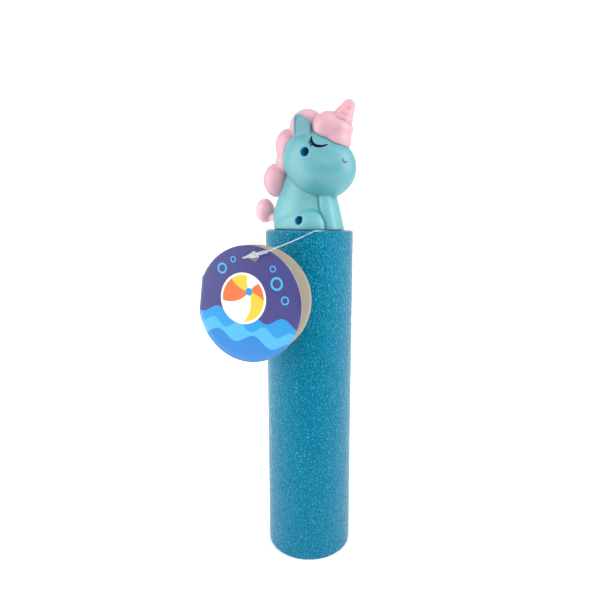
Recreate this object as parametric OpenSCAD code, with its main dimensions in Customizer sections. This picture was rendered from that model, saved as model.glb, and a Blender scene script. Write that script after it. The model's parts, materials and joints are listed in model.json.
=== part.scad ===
// Foam water squirter with a seated unicorn as its plunger handle and a folded round swing tag.
// The origin is the centre of the nozzle's mouth in the flat bottom, +Z runs up the barrel,
// the unicorn looks along +X and its two body shells meet on the plane y = 0.

/* [Foam sleeve] */
// Outer diameter of the foam sleeve
foam_d = 50; // [46:1:64]
// Length of the foam sleeve
foam_l = 192; // [150:1:240]
// Rounding of the sleeve's two cut edges
foam_edge = 0.8; // [0.4:0.1:2]

/* [Water tube and caps] */
// Outer diameter of the water tube
tube_d = 27; // [25:0.5:32]
// Wall of the water tube
tube_wall = 2; // [1.5:0.1:2.6]
// Thickness of each end cap's flange, which covers the end of the tube
cap_flange = 4; // [3:0.5:8]
// Length of each end cap's plug inside the tube
cap_plug = 10; // [6:1:20]
// Diameter of the nozzle's water outlet
nozzle_d = 4; // [2:0.5:6]

/* [Plunger] */
// Diameter of the plunger rod over its ribs
rod_d = 13; // [12:0.5:15]
// Thickness of the rod's crossed ribs
rib_t = 2.4; // [1.6:0.1:4]
// Height of the round collar at each end of the rod
collar_h = 6; // [4:0.5:10]
// Number of round webs between the two collars
web_count = 3; // [0:1:6]
// Thickness of a round web
web_t = 1.6; // [1:0.1:3]
// Diameter of the spigots that hold the figure and the piston
spigot_d = 9; // [7:0.5:10]
// Height of the spigot inside the figure
spigot_h = 12; // [9:0.5:14]
// Height of the piston head
piston_h = 8; // [6.5:0.5:14]
// Thickness of the piston's floor under the rod's spigot
piston_floor = 2.5; // [1.5:0.1:4]
// Thickness of the seal ring in the piston's groove
seal_d = 2; // [1.5:0.1:2.4]
// Clearance over the nozzle plug with the plunger right down
piston_rest = 1; // [0.5:0.1:4]

/* [Fits] */
// Gap between pieces that are fixed to each other
fit_gap = 0.05; // [0.02:0.01:0.1]
// Gap between the hair and the shells that it sits on
seat_gap = 0.12; // [0.1:0.01:0.2]
// Gap between pieces that slide past each other
slide_gap = 0.3; // [0.2:0.05:0.4]
// Room between the seal ring and the walls that it runs on
seal_gap = 0.05; // [0.02:0.01:0.1]

/* [Unicorn body] */
// Height of the slot under the figure that the tag's loop lies in
figure_gap = 0.8; // [0.8:0.1:4]
// Wall of the two body shells
shell_wall = 2; // [1.4:0.1:3]
// Length of the torso, chest to back
torso_l = 37; // [34:0.5:40]
// Width of the torso
torso_w = 26; // [24:0.5:30]
// Height of the torso's round back above the foam
torso_h = 28; // [25:0.5:31]
// Length of the neck where it meets the head
neck_l = 29; // [26:0.5:32]
// Width of the neck
neck_w = 19; // [16:0.5:22]
// Diameter of a foreleg at the hoof
hoof_d = 9.8; // [9:0.1:11]
// Diameter of a foreleg at the chest
knee_d = 7; // [6:0.1:8]
// Length of a thigh
thigh_l = 29; // [26:0.5:31]
// Height of a thigh above the foam
thigh_h = 11.5; // [10:0.1:13]
// Distance between the outsides of the two thighs
thigh_span = 32.4; // [30:0.1:34]

/* [Unicorn head] */
// Height of the head's centre above the figure's base
head_rise = 38; // [36:0.5:40]
// Length of the skull
skull_l = 37; // [35:0.5:39]
// Width of the skull
skull_w = 33; // [31:0.5:36]
// Height of the skull
skull_h = 34.4; // [32:0.2:36]
// Length of the muzzle
muzzle_l = 38.2; // [36:0.2:40]
// Width of the muzzle
muzzle_w = 32.4; // [30:0.1:34]
// Height of the muzzle
muzzle_h = 33.8; // [32:0.2:35]
// Width of an ear
ear_w = 10.2; // [9:0.1:12]
// Height of an ear's tip above the head's centre
ear_h = 23; // [22:0.1:25]
// Thickness of an ear
ear_t = 3.4; // [2.6:0.1:4]

/* [Hair, horn and tail] */
// Diameter of the pegs that the two shells clamp
peg_d = 3.4; // [2.4:0.1:4]
// Diameter of the horn at its foot
horn_d = 11.6; // [10:0.1:12]
// Diameter of the horn's round tip
horn_tip_d = 6.6; // [5:0.1:8]
// Length of the horn from its foot to the centre of its tip
horn_l = 7.7; // [7:0.1:10]
// Number of full rings on the horn under its tip
horn_rings = 2; // [1:1:4]
// Depth of the grooves between the horn's rings
horn_groove = 0.35; // [0.2:0.05:0.6]
// Width of the tail tuft
tail_w = 11.8; // [9:0.1:14]
// Height of the tail tuft
tail_h = 14.4; // [11:0.1:17]
// Diameter of the tail's stem
stem_d = 5; // [4:0.1:6]

/* [Shell screws] */
// Diameter of the open recess over each screw
recess_d = 4.8; // [4.8:0.1:6]
// Diameter of a screw's head
screw_head_d = 4.5; // [4:0.1:4.7]
// Height of a screw's head
screw_head_h = 1.8; // [1.2:0.1:2.4]
// Diameter of a screw's shank
screw_d = 2.4; // [2:0.1:2.8]
// Outer diameter of the bosses round the screws
boss_d = 8.4; // [7.4:0.1:10]
// Thickness of the web under a screw's head
screw_web = 2.6; // [2:0.1:4]
// Depth to which a screw bites into the left shell
screw_bite = 6; // [4:0.5:8]

/* [Swing tag] */
// Diameter of the folded tag
tag_d = 60; // [52:1:66]
// Thickness of a leaf of card
card_t = 0.5; // [0.3:0.05:0.6]
// Length of the tag's straight fold
fold_l = 20; // [16:0.5:32]
// Gap between the two leaves when the tag is shut
leaf_gap = 0.6; // [0.4:0.05:0.8]
// Angle at which the front leaf stands open
tag_open = 23; // [18:0.5:24]
// Diameter of the hole for the loop
tag_hole_d = 5; // [4:0.1:7]
// Distance of the hole's centre from the tag's rim
tag_hole_in = 5.2; // [4:0.1:8]
// Angle of the tag round the barrel
tag_turn = 30; // [0:1:60]
// Lean of the tag in its own plane
tag_lean = 7; // [0:0.5:8]
// Clear space between the foam and the back leaf
tag_gap = 0.5; // [0.3:0.1:2]
// Diameter of the nylon loop's filament
loop_d = 0.6; // [0.5:0.05:0.65]

/* [Hidden] */
$fn = 96;
lobe_fn = 36;
seat_fn = 48;

aqua = [0.50, 0.80, 0.83];
pink = [0.94, 0.74, 0.80];
foam_blue = [0.09, 0.53, 0.69];
white = [0.93, 0.93, 0.91];

// Heights along the barrel
bore_r = tube_d / 2 - tube_wall;
tube_bottom = cap_flange;
tube_top = foam_l - cap_flange;
piston_z = cap_flange + cap_plug + piston_rest;
piston_top = piston_z + piston_h;
figure_z = foam_l + figure_gap;
rod_l = figure_z - piston_top;
piston_r = bore_r - slide_gap;
piston_spigot = piston_h - piston_floor;
seal_r = bore_r - seal_gap - seal_d / 2;
seal_z = piston_z + piston_h / 2;
groove_r = seal_r - seal_d / 2 - seal_gap;
groove_h = seal_d + 4 * seal_gap;

// Places of the figure's forms, measured from the middle of its base
torso_at = [-4.2, 0, 4];
neck_at = [-2, 0, 20];
neck_h = 36;
skull_at = [3.9, 0, head_rise];
muzzle_at = [8.6, 0, head_rise - 5.1];
thigh_at = [1.4, 9.2, 0.2];
hoof_at = [15, 3.1];
knee_at = [10.2, 2.4, 24];
ear_at = [2.2, 10.8, head_rise];
ear_root = 6;
ear_shoulder_h = 16.6;
ear_shoulder_r = 3.4;
ear_tip_r = 2.2;
ear_slope = 50;
floor_t = shell_wall + 0.4;
socket_d = spigot_d + 2 * shell_wall + 2;

// Hair: each lobe is its centre, measured from the skull's centre, and its length, width and height
mane_lobes = [
    [[-5.4, 0, 18.3], [20.4, 16, 18]],
    [[-17.3, 0, 8.5], [16.4, 14, 19]],
    [[-18.9, 0, 0], [13, 11.4, 15]],
    [[-25.7, 0, -10.3], [16.6, 15, 19.6]]];
forelock_lobes = [
    [[9.1, 0, 15.2], [19.6, 24.4, 19]],
    [[14.3, 0, 9.6], [13, 18, 16]],
    [[16.1, 0, 15], [11.4, 17, 10]]];
hem_from = [4, 0, 12.5];
hem_lean = 26.7;
mane_peg_from = [-20.1, 0, 9.9];
forelock_peg_from = [5.6, 0, 20];
horn_from = [16.3, 0, 20.1];
horn_lean = 32;
horn_sink = 3;
horn_peg = 3;
tail_at = [-30.6, 0, 10.3];
stem_from = [-28.4, 0, 7];
stem_to = [-17, 0, 5];
peg_reach = 9;

// Screws run along Y: the lower one crosses the rod's spigot, the upper one holds the head
upper_at = [6.3, 0, head_rise + 2.3];
lower_at = [1.3, 0, 4.7];
upper_seat = screw_web;
lower_seat = spigot_d / 2 + screw_web;

// Places of the tag, seen with the barrel's axis at the middle and +Y away from the viewer
tag_at = [-28.8, -foam_d / 2 - tag_gap, foam_l - 36.3];
fold_out = sqrt(pow(tag_d / 2, 2) - pow(fold_l / 2, 2));
hole_at = [0.8, tag_d / 2 - tag_hole_in];
crease_r = card_t + leaf_gap / 2;

// Route of the loop over the foam's top and round the rod, heights from the foam's top
lay = loop_d / 2 + 0.08;
rim_lift = 0.5;
top_route = [[2.9, -24.9, rim_lift], [7, -21.6, lay], [11.4, -13, lay], [12.6, -3, lay], [8.6, 6.6, lay],
             [-1, 10.4, lay], [-11, 8.6, lay], [-19.2, 6, lay], [-24.7, 3.1, rim_lift]];
// Route of its front strand from the rim to the lock
front_route = [[3.1, -25.5, rim_lift], [0.2, -26.3, -0.6], [-4.2, -28.4, -2.6], [-9.2, -32.6, -4.7],
               [-13.8, -38, -6.3], [-17.7, -42.7, -7.7], [-20.3, -44.1, -8.7]];
// Route of its back strand from the rim through both holes to the lock
back_route = [[-25.3, 2.8, rim_lift], [-27, -0.2, -0.9], [-27.6, -5.4, -3.8], [-26.8, -13, -7.6],
              [-25.6, -20, -10.2], [-25, -26.3, -11.5], [-25.4, -32, -11.7], [-26.6, -36.6, -11.4],
              [-28.1, -39.7, -11.2]];
lock_at = [-28.6, -40.7, -11.1];
lock_turn = -22;
lock_lift = 15;
lock_l = 4.6;
lock_d = 3.2;
lock_neck_d = 1.6;
lock_tail_d = 1.2;
lock_neck_l = 7;
lock_tail_l = 2.8;

// One ellipsoid from its centre and its full sizes; turn puts its meridian on the open side
module egg(at, size, grow = 0, turn = 0) {
    translate(at)
        scale(size + 2 * [grow, grow, grow])
            rotate([0, 0, turn])
                sphere(d = 1);
}

// A straight round bar between two points, from one diameter to another
module bar(from, to, d1, d2) {
    run = to - from;
    translate(from)
        rotate([0, acos(run.z / norm(run)), atan2(run.y, run.x)])
            cylinder(d1 = d1, d2 = d2, h = norm(run));
}

// Points of a smooth curve through the points of a route
function curve(p, steps) = [
    for (i = [0 : len(p) - 2])
        for (k = [0 : (i == len(p) - 2 ? steps : steps - 1)])
            let (
                a = p[max(i - 1, 0)],
                b = p[i],
                c = p[i + 1],
                d = p[min(i + 2, len(p) - 1)],
                t = k / steps)
            0.5 * (2 * b + (c - a) * t + (2 * a - 5 * b + 4 * c - d) * t * t
                   + (3 * b - a - 3 * c + d) * t * t * t)];

function unit(v) = v / norm(v);

// A round tube swept along a curve, closed at both ends
module tube_along(path, d, sides = 8) {
    last = len(path) - 1;
    rings = [
        for (i = [0 : last])
            let (
                ahead = unit(path[min(i + 1, last)] - path[max(i - 1, 0)]),
                side = unit(cross([0, 0, 1], ahead)),
                up = cross(ahead, side))
            for (k = [0 : sides - 1])
                path[i] + d / 2 * (side * cos(360 * k / sides) + up * sin(360 * k / sides))];
    walls = [
        for (i = [0 : last - 1])
            for (k = [0 : sides - 1])
                let (
                    a = i * sides + k,
                    b = i * sides + (k + 1) % sides)
                for (face = [[a, a + sides, b], [b, a + sides, b + sides]])
                    face];
    ends = [
        for (k = [1 : sides - 2])
            for (face = [[0, k, k + 1], [last * sides, last * sides + k + 1, last * sides + k]])
                face];
    polyhedron(points = rings, faces = concat(walls, ends));
}

// Pieces of the barrel

module foam_sleeve() {
    color(foam_blue)
        rotate_extrude()
            polygon([
                [tube_d / 2 + fit_gap, 0],
                [foam_d / 2 - foam_edge, 0],
                [foam_d / 2, foam_edge],
                [foam_d / 2, foam_l - foam_edge],
                [foam_d / 2 - foam_edge, foam_l],
                [tube_d / 2 + fit_gap, foam_l]]);
}

module barrel_tube() {
    color(white)
        translate([0, 0, tube_bottom])
            difference() {
                cylinder(d = tube_d, h = tube_top - tube_bottom);
                translate([0, 0, -1])
                    cylinder(r = bore_r, h = tube_top - tube_bottom + 2);
            }
}

// A flange that covers the tube's end and a plug that fits in it, with a hole along the axis
module end_cap(hole_r) {
    difference() {
        union() {
            cylinder(d = tube_d, h = cap_flange);
            cylinder(r = bore_r - fit_gap, h = cap_flange + cap_plug);
        }
        translate([0, 0, -1])
            cylinder(r = hole_r, h = cap_flange + cap_plug + 2);
    }
}

module nozzle_cap() {
    color(aqua)
        end_cap(nozzle_d / 2);
}

module guide_cap() {
    color(aqua)
        translate([0, 0, foam_l])
            mirror([0, 0, 1])
                end_cap(rod_d / 2 + slide_gap);
}

// Pieces of the plunger

module piston_head() {
    color(white)
        difference() {
            translate([0, 0, piston_z])
                cylinder(r = piston_r, h = piston_h);
            translate([0, 0, seal_z - groove_h / 2])
                difference() {
                    cylinder(r = piston_r + 1, h = groove_h);
                    translate([0, 0, -1])
                        cylinder(r = groove_r, h = groove_h + 2);
                }
            translate([0, 0, piston_top - piston_spigot - fit_gap])
                cylinder(r = spigot_d / 2 + fit_gap, h = piston_spigot + 1);
        }
}

module piston_seal() {
    color([0.12, 0.12, 0.13])
        translate([0, 0, seal_z])
            rotate_extrude()
                translate([seal_r, 0])
                    circle(d = seal_d);
}

module plunger_rod() {
    rib_l = rod_l - 2 * collar_h;
    web_step = rib_l / (web_count + 1);
    color(white)
        difference() {
            translate([0, 0, piston_top])
                union() {
                    cylinder(d = rod_d, h = collar_h);
                    translate([0, 0, rod_l - collar_h])
                        cylinder(d = rod_d, h = collar_h);
                    translate([0, 0, collar_h])
                        intersection() {
                            cylinder(d = rod_d, h = rib_l);
                            union() {
                                translate([-rod_d / 2, -rib_t / 2, 0])
                                    cube([rod_d, rib_t, rib_l]);
                                translate([-rib_t / 2, -rod_d / 2, 0])
                                    cube([rib_t, rod_d, rib_l]);
                            }
                        }
                    for (i = [1 : 1 : web_count])
                        translate([0, 0, collar_h + i * web_step - web_t / 2])
                            cylinder(d = rod_d, h = web_t);
                    translate([0, 0, rod_l])
                        cylinder(d = spigot_d, h = spigot_h);
                    translate([0, 0, -piston_spigot])
                        cylinder(d = spigot_d, h = piston_spigot);
                }
            in_figure()
                along_y(lower_at, screw_d / 2 + fit_gap, -spigot_d, spigot_d);
        }
}

// Forms of the figure, in its own frame with the base at z = 0

module in_figure() {
    translate([0, 0, figure_z])
        children();
}

// A round bar along Y through a point, from one place across the figure to another
module along_y(at, r, from, to) {
    translate([at.x, from, at.z])
        rotate([-90, 0, 0])
            cylinder(r = r, h = to - from);
}

module torso(grow = 0) {
    egg(torso_at, [torso_l, torso_w, 2 * (torso_h - torso_at.z)], grow);
}

module neck(grow = 0) {
    egg(neck_at, [neck_l, neck_w, neck_h], grow);
}

module skull(grow = 0) {
    egg(skull_at, [skull_l, skull_w, skull_h], grow);
}

module muzzle(grow = 0) {
    egg(muzzle_at, [muzzle_l, muzzle_w, muzzle_h], grow);
}

// Outline of an ear: a front edge, a round shoulder, a slope to the round tip and a back edge
function ear_outline(grow) = concat(
    [[ear_w / 2 + grow, ear_root]],
    arc([ear_w / 2 - ear_shoulder_r, ear_shoulder_h], ear_shoulder_r + grow, 0, ear_slope),
    arc([ear_tip_r - ear_w / 2, ear_h - ear_tip_r], ear_tip_r + grow, ear_slope, 180),
    [[-ear_w / 2 - grow, ear_root]]);
function arc(at, r, from, to) = [
    for (i = [0 : 6])
        let (a = from + (to - from) * i / 6)
        at + r * [cos(a), sin(a)]];

// One ear, a flat leaf; side is -1 on the right and 1 on the left
module ear(side, grow = 0) {
    translate([ear_at.x, side * ear_at.y + ear_t / 2 + grow, ear_at.z])
        rotate([90, 0, 0])
            linear_extrude(ear_t + 2 * grow)
                polygon(ear_outline(grow));
}

module foreleg(side) {
    hoof = [hoof_at.x, side * hoof_at.y, 0];
    knee = [knee_at.x, side * knee_at.y, knee_at.z];
    below = hoof - (knee - hoof) / 8;
    bar(below, knee, hoof_d, knee_d);
}

module thigh(side) {
    wide = 2 * (thigh_span / 2 - thigh_at.y);
    high = 2 * (thigh_h - thigh_at.z);
    egg([thigh_at.x, side * thigh_at.y, thigh_at.z], [thigh_l, wide, high]);
}

// The hollow between the two shells, with the floor, the socket and the bosses left standing
module shell_hollow() {
    far = 2 * torso_l;
    difference() {
        union() {
            torso(-shell_wall);
            neck(-shell_wall);
            skull(-shell_wall);
            muzzle(-shell_wall);
        }
        translate([-far / 2, -far / 2, floor_t - far])
            cube([far, far, far]);
        cylinder(d = socket_d, h = spigot_h + shell_wall);
        along_y(upper_at, boss_d / 2, -skull_w, skull_w);
        along_y(lower_at, boss_d / 2, -torso_w, torso_w);
    }
}

// Holes on the split plane for the pegs of the hair and the tail's stem
module peg_holes() {
    for (peg = [mane_peg(), forelock_peg()])
        bar(peg[0], peg[1], peg_d + 2 * fit_gap, peg_d + 2 * fit_gap);
    bar(stem_from, stem_to, stem_d + 2 * fit_gap, stem_d + 2 * fit_gap);
}

// Each peg runs from inside a lobe towards the middle of the skull
function peg_line(lobe, reach) = [lobe, lobe + reach * unit(skull_at - lobe)];
function mane_peg() = peg_line(skull_at + mane_peg_from, peg_reach);
function forelock_peg() = peg_line(skull_at + forelock_peg_from, peg_reach);

module body_shell(side) {
    far = 4 * torso_l;
    color(aqua)
        in_figure()
            difference() {
                intersection() {
                    union() {
                        torso();
                        neck();
                        skull();
                        muzzle();
                        thigh(side);
                        foreleg(side);
                        ear(side);
                    }
                    translate([-far / 2, side > 0 ? 0 : -far, 0])
                        cube([far, far, far]);
                }
                shell_hollow();
                translate([0, 0, -1])
                    cylinder(d = spigot_d + 2 * fit_gap, h = spigot_h + 1 + fit_gap);
                peg_holes();
                children();
            }
}

// The right shell has the two open recesses
module right_shell() {
    body_shell(-1) {
        along_y(upper_at, recess_d / 2, -skull_w, -upper_seat);
        along_y(upper_at, screw_d / 2 + fit_gap, -skull_w, 1);
        along_y(lower_at, recess_d / 2, -torso_w, -lower_seat);
        along_y(lower_at, screw_d / 2 + fit_gap, -torso_w, 1);
    }
}

// The left shell has the two blind holes that the screws bite into
module left_shell() {
    body_shell(1) {
        along_y(upper_at, screw_d / 2 + fit_gap, -1, screw_bite + fit_gap);
        along_y(lower_at, screw_d / 2 + fit_gap, -1, spigot_d / 2 + screw_bite + fit_gap);
    }
}

module shell_screw(at, seat, point) {
    color([0.72, 0.73, 0.75])
        in_figure() {
            along_y(at, screw_head_d / 2, -seat - screw_head_h, -seat);
            along_y(at, screw_d / 2, -seat, point);
        }
}

module upper_screw() {
    shell_screw(upper_at, upper_seat, screw_bite);
}

module lower_screw() {
    shell_screw(lower_at, lower_seat, spigot_d / 2 + screw_bite);
}

// Lobes of hair as facets
module lobes(list, grow = 0) {
    for (lobe = list)
        hull()
            egg(skull_at + lobe[0], lobe[1], grow, $fn = lobe_fn);
}

// All that lies under the forelock's straight hem
module under_hem() {
    far = 4 * skull_l;
    translate(skull_at + hem_from)
        rotate([0, hem_lean, 0])
            translate([-far / 2, -far / 2, -far])
                cube([far, far, far]);
}

// What the hair sits against, a little larger than the shells
module hair_seat() {
    $fn = seat_fn;
    hull()
        torso(seat_gap);
    hull()
        neck(seat_gap);
    hull()
        skull(seat_gap);
    hull()
        muzzle(seat_gap);
    for (side = [-1, 1])
        hull()
            ear(side, seat_gap);
}

module mane() {
    peg = mane_peg();
    color(pink)
        in_figure()
            union() {
                difference() {
                    lobes(mane_lobes);
                    hair_seat();
                    lobes(forelock_lobes, seat_gap);
                }
                bar(peg[0], peg[1], peg_d, peg_d, $fn = lobe_fn);
            }
}

module forelock() {
    peg = forelock_peg();
    color(pink)
        in_figure()
            difference() {
                union() {
                    difference() {
                        lobes(forelock_lobes);
                        hair_seat();
                        under_hem();
                    }
                    bar(peg[0], peg[1], peg_d, peg_d, $fn = lobe_fn);
                }
                on_horn()
                    translate([0, 0, -horn_sink - horn_peg - seat_gap])
                        cylinder(d = peg_d + 2 * seat_gap, h = horn_peg + horn_sink, $fn = lobe_fn);
                on_horn()
                    translate([0, 0, -horn_sink - seat_gap])
                        cylinder(d = horn_d + 2 * seat_gap, h = horn_l, $fn = seat_fn);
            }
}

module on_horn() {
    translate(skull_at + horn_from)
        rotate([0, horn_lean, 0])
            children();
}

// Radius of the horn at a height: a straight taper with a row of round rings
function horn_r(h) = (horn_d + (horn_tip_d - horn_d) * h / horn_l) / 2
    - horn_groove * (1 - abs(sin(180 * horn_rings * h / horn_l)));

module horn() {
    steps = 8 * horn_rings;
    color([0.93, 0.69, 0.75])
        in_figure()
            on_horn() {
                rotate_extrude()
                    polygon(concat(
                        [[0, -horn_sink], [horn_d / 2, -horn_sink]],
                        [for (i = [0 : steps]) [horn_r(i * horn_l / steps), i * horn_l / steps]],
                        [[0, horn_l]]));
                translate([0, 0, horn_l])
                    sphere(r = horn_r(horn_l));
                translate([0, 0, -horn_sink - horn_peg])
                    cylinder(d = peg_d, h = horn_peg + 1);
            }
}

module tail() {
    color(pink)
        in_figure() {
            egg(tail_at, [tail_w, tail_w, tail_h], turn = 180);
            bar(stem_from, stem_to, stem_d, stem_d);
        }
}

// Pieces of the swing tag, in a frame turned to where the tag hangs

module at_tag() {
    rotate([0, 0, tag_turn])
        children();
}

module at_top() {
    at_tag()
        translate([0, 0, foam_l])
            children();
}

// Puts a leaf, drawn flat with its fold along Y at x = 0, upright in front of the foam
module on_fold() {
    at_tag()
        translate(tag_at)
            rotate([0, tag_lean, 0])
                translate([-fold_out, -crease_r, 0])
                    rotate([90, 0, 0])
                        children();
}

// One round leaf with its straight fold and its hole; its inner face looks to z = 0
module leaf() {
    translate([0, 0, -leaf_gap / 2 - card_t])
        linear_extrude(card_t)
            difference() {
                intersection() {
                    translate([fold_out, 0])
                        circle(d = tag_d);
                    translate([crease_r + fit_gap, -tag_d / 2])
                        square(tag_d);
                }
                translate([fold_out + hole_at.x, hole_at.y])
                    circle(d = tag_hole_d);
            }
}

module tag_back() {
    crease_l = fold_l - 2 * crease_r;
    color([0.82, 0.78, 0.70])
        on_fold() {
            leaf();
            translate([0, crease_l / 2, 0])
                rotate([90, 0, 0])
                    cylinder(r = crease_r, h = crease_l);
            translate([0, -crease_l / 2, -crease_r])
                cube([2 * crease_r, crease_l, card_t]);
        }
}

module tag_front() {
    color([0.33, 0.34, 0.55])
        on_fold()
            rotate([0, -tag_open, 0])
                mirror([0, 0, 1])
                    leaf();
}

module loop_top() {
    color([0.88, 0.90, 0.92])
        at_top()
            tube_along(curve(top_route, 4), loop_d);
}

module loop_hang() {
    color([0.88, 0.90, 0.92])
        at_top() {
            tube_along(curve(front_route, 3), loop_d);
            tube_along(curve(back_route, 3), loop_d);
        }
}

module loop_lock() {
    color([0.88, 0.90, 0.92])
        at_top()
            translate(lock_at)
                rotate([0, 0, lock_turn])
                    rotate([0, 90 - lock_lift, 0]) {
                        translate([0, 0, -lock_l / 2])
                            cylinder(d1 = lock_neck_d, d2 = lock_d, h = lock_l);
                        translate([0, 0, lock_l / 2])
                            cylinder(d = lock_neck_d, h = lock_neck_l);
                        translate([0, 0, -lock_l / 2 - lock_tail_l])
                            cylinder(d = lock_tail_d, h = lock_tail_l);
                    }
}

foam_sleeve();
barrel_tube();
nozzle_cap();
guide_cap();
loop_top();
piston_seal();
piston_head();
plunger_rod();
right_shell();
left_shell();
mane();
forelock();
horn();
tail();
upper_screw();
lower_screw();
loop_hang();
loop_lock();
tag_back();
tag_front();
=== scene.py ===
# %% [markdown]
# # A foam water squirter with a seated unicorn for a handle
#
# The real toy is a tube in a thick foam sleeve. A plunger runs in the tube, and its handle is a small
# moulded unicorn. A folded round card hangs on a nylon loop that was slipped over the handle. The packed
# model gives the frame, the joints and the plain pieces. This lesson dresses it: each cell makes one
# piece or one finish in that frame. Blender has lengths in metres, and MM turns millimetres into metres.

# %% Load the packed model
import json
import math

import bmesh
import bpy
import numpy as np
from mathutils import Matrix, Quaternion, Vector
from mathutils.bvhtree import BVHTree


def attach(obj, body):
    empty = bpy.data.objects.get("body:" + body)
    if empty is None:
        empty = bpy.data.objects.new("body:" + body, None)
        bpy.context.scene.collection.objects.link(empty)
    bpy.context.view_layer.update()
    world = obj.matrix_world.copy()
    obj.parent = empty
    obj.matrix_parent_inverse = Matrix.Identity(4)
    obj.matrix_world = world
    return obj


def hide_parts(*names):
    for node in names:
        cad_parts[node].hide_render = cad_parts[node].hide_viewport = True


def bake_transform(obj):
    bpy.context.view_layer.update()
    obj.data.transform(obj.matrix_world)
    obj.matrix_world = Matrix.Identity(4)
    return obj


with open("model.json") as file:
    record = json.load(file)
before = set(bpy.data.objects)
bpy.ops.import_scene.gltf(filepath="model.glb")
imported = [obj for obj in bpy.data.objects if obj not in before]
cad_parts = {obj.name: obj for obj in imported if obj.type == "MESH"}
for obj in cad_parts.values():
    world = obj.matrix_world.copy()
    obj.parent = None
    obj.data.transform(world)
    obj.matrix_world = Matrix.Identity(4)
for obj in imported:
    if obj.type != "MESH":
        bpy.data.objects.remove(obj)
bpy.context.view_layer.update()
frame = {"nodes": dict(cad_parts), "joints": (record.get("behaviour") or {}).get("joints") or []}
nodes = frame["nodes"]
MM = 0.001
scene = bpy.context.scene

# %% [markdown]
# ## The camera
#
# The picture was taken from a little above and from the figure's right front, quite close, so that the
# sleeve narrows towards its foot. The lens and the distance decide that taper, so they come first.

# %% Set the camera
def placed(name, data):
    """An object for a mesh, a camera or a lamp, at the origin of the scene."""
    made = bpy.data.objects.new(name, data)
    scene.collection.objects.link(made)
    return made


AZIMUTH = math.radians(30)
CAMERA_AWAY = 277.7 * MM
CAMERA_HEIGHT = 199.8 * MM
CAMERA_TILT = math.radians(9.84)
camera_data = bpy.data.cameras.new("camera")
camera_data.sensor_width = 36
camera_data.lens = 28.76
camera_data.shift_x = -0.0155
camera_data.clip_start = 0.01
camera = placed("camera", camera_data)
camera.location = (CAMERA_AWAY * math.sin(AZIMUTH), -CAMERA_AWAY * math.cos(AZIMUTH), CAMERA_HEIGHT)
camera.rotation_euler = (math.pi / 2 - CAMERA_TILT, 0, AZIMUTH)
scene.camera = camera
print("camera at", [round(x, 4) for x in camera.location])

# %% [markdown]
# ## The nylon loop
#
# A tag loop is one stiff clear filament. It leaves the lock, climbs to the sleeve's rim, lies round the
# rod on the foam, comes over the rim again and goes back through both holes of the card into the lock. A
# tube that is swept along a smooth curve is the plainest way to make it. The points are the route's own
# points.

# %% The route of the loop
FOAM_TOP = 192.0
TAG_TURN = math.radians(30)
LOOP_D = 0.6
LOOP_ROUTE = [
    (-20.3, -44.1, -8.7), (-17.7, -42.7, -7.7), (-13.8, -38, -6.3), (-9.2, -32.6, -4.7),
    (-4.2, -28.4, -2.6), (0.2, -26.3, -0.6), (3, -25.2, 0.5), (7, -21.6, 0.38), (11.4, -13, 0.38),
    (12.6, -3, 0.38), (8.6, 6.6, 0.38), (-1, 10.4, 0.38), (-11, 8.6, 0.38), (-19.2, 6, 0.38),
    (-25, 2.95, 0.5), (-27, -0.2, -0.9), (-27.6, -5.4, -3.8), (-26.8, -13, -7.6), (-25.6, -20, -10.2),
    (-25, -26.3, -11.5), (-25.4, -32, -11.7), (-26.6, -36.6, -11.4), (-28.1, -39.7, -11.2)]
tag_frame = Matrix.Rotation(TAG_TURN, 4, "Z")
top_frame = Matrix.Scale(MM, 4) @ tag_frame @ Matrix.Translation((0, 0, FOAM_TOP))
print("route points:", len(LOOP_ROUTE))

# %% [markdown]
# ## Meshes from rings of points
#
# Tubes, strokes of ink and turned pieces are all rings of points with quads between them. These helpers
# make such meshes, and they come first because most later pieces use them.

# %% Helpers for rings
TOGETHER = 1e-7


def smooth_path(points, steps):
    """Points of a smooth curve through the points of a route."""
    p = np.array(points, float)
    p = np.vstack([p[:1], p, p[-1:]])
    path = []
    for a, b, c, d in zip(p, p[1:], p[2:], p[3:]):
        for t in np.arange(steps) / steps:
            path.append(0.5 * (2 * b + (c - a) * t + (2 * a - 5 * b + 4 * c - d) * t**2
                               + (3 * b - a - 3 * c + d) * t**3))
    return np.array(path + [p[-1]])


def face_out(mesh, weld=False):
    """Turns the faces of a mesh outwards, perhaps after welding points that lie together."""
    work = bmesh.new()
    work.from_mesh(mesh)
    if weld:
        bmesh.ops.remove_doubles(work, verts=work.verts, dist=TOGETHER)
    bmesh.ops.recalc_face_normals(work, faces=work.faces)
    work.to_mesh(mesh)
    work.free()


def piece_of(name, points, faces, material=None):
    """A smooth mesh object at the origin, with its normals outwards."""
    mesh = bpy.data.meshes.new(name)
    mesh.from_pydata([tuple(p) for p in points], [], [tuple(f) for f in faces])
    face_out(mesh, weld=True)
    mesh.polygons.foreach_set("use_smooth", [True] * len(mesh.polygons))
    if material:
        mesh.materials.append(material)
    return placed(name, mesh)


def grid_faces(rows, columns, close_rows=False):
    """Quads between rows of points, each row a closed ring."""
    faces = []
    for i in range(rows if close_rows else rows - 1):
        for k in range(columns):
            a, b = i * columns + k, i * columns + (k + 1) % columns
            c = (i + 1) % rows * columns
            faces.append((a, b, c + (k + 1) % columns, c + k))
    return faces


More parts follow.
